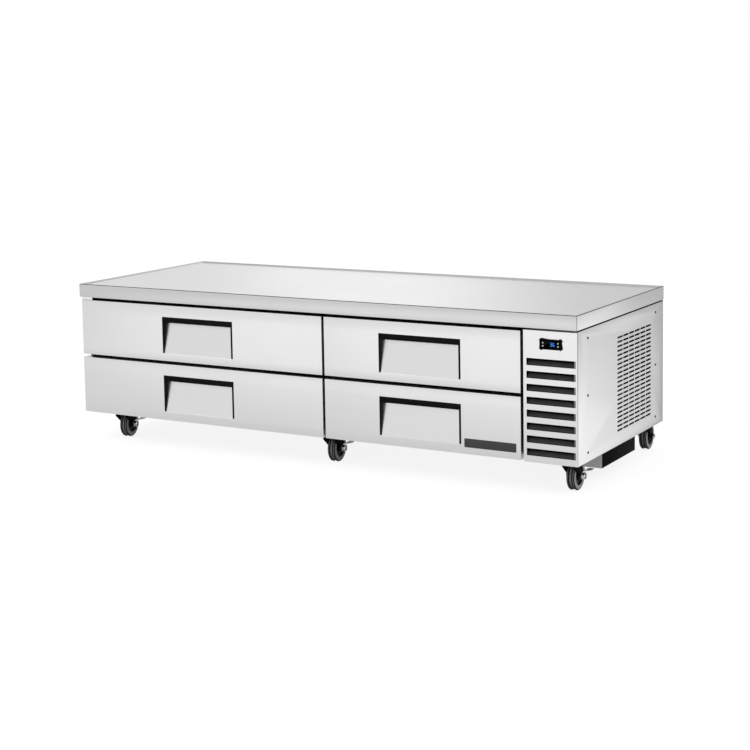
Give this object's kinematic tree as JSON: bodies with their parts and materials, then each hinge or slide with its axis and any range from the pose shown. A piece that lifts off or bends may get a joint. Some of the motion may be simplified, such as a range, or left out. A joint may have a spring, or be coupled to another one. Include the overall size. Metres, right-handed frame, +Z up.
{
  "type": "refrigerated chef base",
  "caption": "Low stainless refrigerated stand for cooking equipment: flat deck with a raised edge, insulated pan drawers, louvred machine compartment at one end, castors.",
  "frame": {"origin": "on the floor, under the middle of the whole box, which runs from the worktop's front edge to the rear castors' treads", "axes": "+X along the front towards the machine compartment, +Y from the drawers to the back, +Z up"},
  "size_m": [2.092, 0.8434, 0.614],
  "materials": {
    "stainless": "fine brushed stainless sheet, satin",
    "galvanised": "galvanised sheet, dull grey",
    "zinc": "bright zinc plate",
    "fins": "thin aluminium fins, dusty",
    "black_plastic": "black moulded plastic, satin",
    "black_steel": "black painted steel",
    "tread": "dark grey castor tread on a black hub",
    "gasket": "soft black magnetic gasket",
    "foam": "foamed-in-place insulation, pale yellow",
    "key": "small white keys"
  },
  "bodies": {
    "cabinet": {"back_panel": "galvanised", "base_pan": "galvanised", "bulkhead": "galvanised", "cabinet_foam": "foam", "cabinet_liner": "stainless", "castor_rail_front": "black_steel", "castor_rail_rear": "black_steel", "compressor": "black_steel", "condenser_coil": "fins", "condenser_fan_motor": "black_steel", "condensing_unit_tray": "black_steel", "controller_housing": "black_plastic", "cord_gland": "black_plastic", "end_panel_left": "stainless", "evaporator_coil": "fins", "front_frame": "black_plastic", "front_louvre_panel": "stainless", "left_bank_left_tracks": "galvanised", "left_bank_right_tracks": "galvanised", "right_bank_left_tracks": "galvanised", "right_bank_right_tracks": "galvanised", "side_panel_right": "stainless", "worktop": "stainless"},
    "upper_left_drawer": {"upper_left_drawer_front": "stainless", "upper_left_drawer_pull": "black_plastic", "upper_left_drawer_gasket": "gasket", "upper_left_drawer_carrier": "stainless"},
    "upper_right_drawer": {"upper_right_drawer_front": "stainless", "upper_right_drawer_pull": "black_plastic", "upper_right_drawer_gasket": "gasket", "upper_right_drawer_carrier": "stainless"},
    "lower_left_drawer": {"lower_left_drawer_front": "stainless", "lower_left_drawer_pull": "black_plastic", "lower_left_drawer_gasket": "gasket", "lower_left_drawer_carrier": "stainless"},
    "lower_right_drawer": {"lower_right_drawer_front": "stainless", "lower_right_drawer_pull": "black_plastic", "lower_right_drawer_gasket": "gasket", "lower_right_drawer_carrier": "stainless"},
    "front_left_fork": {"front_left_castor_fork": "black_steel"},
    "front_left_wheel": {"front_left_castor_wheel": "tread"},
    "front_left_brake": {"front_left_castor_brake": "zinc"},
    "front_middle_fork": {"front_middle_castor_fork": "black_steel"},
    "front_middle_wheel": {"front_middle_castor_wheel": "tread"},
    "front_middle_brake": {"front_middle_castor_brake": "zinc"},
    "front_right_fork": {"front_right_castor_fork": "black_steel"},
    "front_right_wheel": {"front_right_castor_wheel": "tread"},
    "front_right_brake": {"front_right_castor_brake": "zinc"},
    "rear_left_fork": {"rear_left_castor_fork": "black_steel"},
    "rear_left_wheel": {"rear_left_castor_wheel": "tread"},
    "rear_middle_fork": {"rear_middle_castor_fork": "black_steel"},
    "rear_middle_wheel": {"rear_middle_castor_wheel": "tread"},
    "rear_right_fork": {"rear_right_castor_fork": "black_steel"},
    "rear_right_wheel": {"rear_right_castor_wheel": "tread"},
    "condenser_fan": {"condenser_fan": "black_plastic"},
    "evaporator_fan": {"evaporator_fan": "black_plastic"},
    "key_upper_left": {"key_upper_left": "key"},
    "key_lower_left": {"key_lower_left": "key"},
    "key_upper_right": {"key_upper_right": "key"},
    "key_lower_right": {"key_lower_right": "key"}
  },
  "joints": [
    {"name": "upper_left_drawer_slide", "type": "slide", "parent": "cabinet", "child": "upper_left_drawer", "axis": [0, -1, 0], "range_m": [0, 0.52]},
    {"name": "upper_right_drawer_slide", "type": "slide", "parent": "cabinet", "child": "upper_right_drawer", "axis": [0, -1, 0], "range_m": [0, 0.52]},
    {"name": "lower_left_drawer_slide", "type": "slide", "parent": "cabinet", "child": "lower_left_drawer", "axis": [0, -1, 0], "range_m": [0, 0.52]},
    {"name": "lower_right_drawer_slide", "type": "slide", "parent": "cabinet", "child": "lower_right_drawer", "axis": [0, -1, 0], "range_m": [0, 0.52]},
    {"name": "front_left_castor_swivel", "type": "hinge", "parent": "cabinet", "child": "front_left_fork", "pos_m": [-0.91, -0.33572, 0.13], "axis": [0, 0, 1], "continuous": true},
    {"name": "front_left_wheel_spin", "type": "hinge", "parent": "front_left_fork", "child": "front_left_wheel", "pos_m": [-0.91478, -0.30408, 0.0508], "axis": [0.9888, 0.1495, 0], "continuous": true},
    {"name": "front_left_brake_lever", "type": "hinge", "parent": "front_left_fork", "child": "front_left_brake", "pos_m": [-0.91478, -0.30408, 0.0508], "axis": [0.9888, 0.1495, 0], "range_deg": [-25, 0]},
    {"name": "front_middle_castor_swivel", "type": "hinge", "parent": "cabinet", "child": "front_middle_fork", "pos_m": [0.048, -0.33572, 0.13], "axis": [0, 0, 1], "continuous": true},
    {"name": "front_middle_wheel_spin", "type": "hinge", "parent": "front_middle_fork", "child": "front_middle_wheel", "pos_m": [0.04543, -0.30382, 0.0508], "axis": [0.9968, 0.0802, 0], "continuous": true},
    {"name": "front_middle_brake_lever", "type": "hinge", "parent": "front_middle_fork", "child": "front_middle_brake", "pos_m": [0.04543, -0.30382, 0.0508], "axis": [0.9968, 0.0802, 0], "range_deg": [-25, 0]},
    {"name": "front_right_castor_swivel", "type": "hinge", "parent": "cabinet", "child": "front_right_fork", "pos_m": [0.99, -0.33572, 0.13], "axis": [0, 0, 1], "continuous": true},
    {"name": "front_right_wheel_spin", "type": "hinge", "parent": "front_right_fork", "child": "front_right_wheel", "pos_m": [0.98961, -0.30372, 0.0508], "axis": [0.9999, 0.0122, 0], "continuous": true},
    {"name": "front_right_brake_lever", "type": "hinge", "parent": "front_right_fork", "child": "front_right_brake", "pos_m": [0.98961, -0.30372, 0.0508], "axis": [0.9999, 0.0122, 0], "range_deg": [-25, 0]},
    {"name": "rear_left_castor_swivel", "type": "hinge", "parent": "cabinet", "child": "rear_left_fork", "pos_m": [-0.91, 0.33828, 0.13], "axis": [0, 0, 1], "continuous": true},
    {"name": "rear_left_wheel_spin", "type": "hinge", "parent": "rear_left_fork", "child": "rear_left_wheel", "pos_m": [-0.91478, 0.36992, 0.0508], "axis": [0.9888, 0.1495, 0], "continuous": true},
    {"name": "rear_middle_castor_swivel", "type": "hinge", "parent": "cabinet", "child": "rear_middle_fork", "pos_m": [0.048, 0.33828, 0.13], "axis": [0, 0, 1], "continuous": true},
    {"name": "rear_middle_wheel_spin", "type": "hinge", "parent": "rear_middle_fork", "child": "rear_middle_wheel", "pos_m": [0.04322, 0.36992, 0.0508], "axis": [0.9888, 0.1495, 0], "continuous": true},
    {"name": "rear_right_castor_swivel", "type": "hinge", "parent": "cabinet", "child": "rear_right_fork", "pos_m": [0.99, 0.33828, 0.13], "axis": [0, 0, 1], "continuous": true},
    {"name": "rear_right_wheel_spin", "type": "hinge", "parent": "rear_right_fork", "child": "rear_right_wheel", "pos_m": [0.98833, 0.37024, 0.0508], "axis": [0.9986, 0.0523, 0], "continuous": true},
    {"name": "condenser_fan_spin", "type": "hinge", "parent": "cabinet", "child": "condenser_fan", "pos_m": [0.9535, -0.28572, 0.3056], "axis": [0, 1, 0], "continuous": true},
    {"name": "evaporator_fan_spin", "type": "hinge", "parent": "cabinet", "child": "evaporator_fan", "pos_m": [0.4505, 0.23578, 0.425], "axis": [0, 1, 0], "continuous": true},
    {"name": "key_upper_left_press", "type": "slide", "parent": "cabinet", "child": "key_upper_left", "axis": [0, 1, 0], "range_m": [0, 0.0006], "stiffness_N_per_m": 300},
    {"name": "key_lower_left_press", "type": "slide", "parent": "cabinet", "child": "key_lower_left", "axis": [0, 1, 0], "range_m": [0, 0.0006], "stiffness_N_per_m": 300},
    {"name": "key_upper_right_press", "type": "slide", "parent": "cabinet", "child": "key_upper_right", "axis": [0, 1, 0], "range_m": [0, 0.0006], "stiffness_N_per_m": 300},
    {"name": "key_lower_right_press", "type": "slide", "parent": "cabinet", "child": "key_lower_right", "axis": [0, 1, 0], "range_m": [0, 0.0006], "stiffness_N_per_m": 300}
  ]
}
